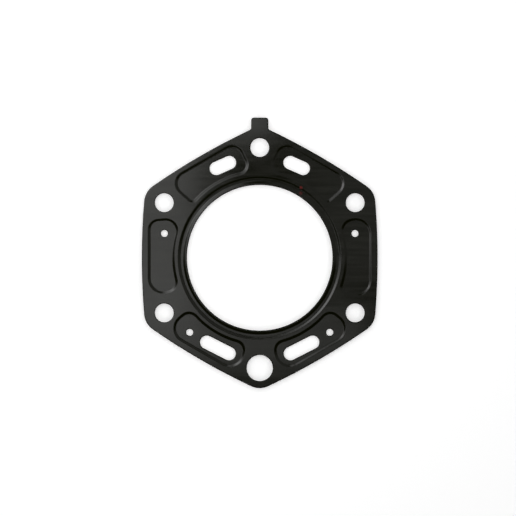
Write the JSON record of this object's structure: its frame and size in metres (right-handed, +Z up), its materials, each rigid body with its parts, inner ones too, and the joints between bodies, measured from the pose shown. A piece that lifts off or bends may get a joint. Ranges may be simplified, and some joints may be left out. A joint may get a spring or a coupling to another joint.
{
  "type": "cylinder head gasket",
  "caption": "Single-sheet embossed steel head gasket: rounded hexagon with a tab, a beaded bore, stud holes, coolant slots and a pressed pocket on each side.",
  "frame": {"origin": "centre of the bore, on the plane that the undersides of the pressed pockets rest on (the block face)", "axes": "+Z up through the sheet towards the cylinder head, along the bore axis; +Y towards the locating tab; +X to the right of the tab seen from above"},
  "size_m": [0.1134, 0.1301, 0.0009],
  "materials": {
    "coated_steel": "satin"
  },
  "bodies": {
    "root": {"head_gasket": "coated_steel"}
  },
  "joints": []
}
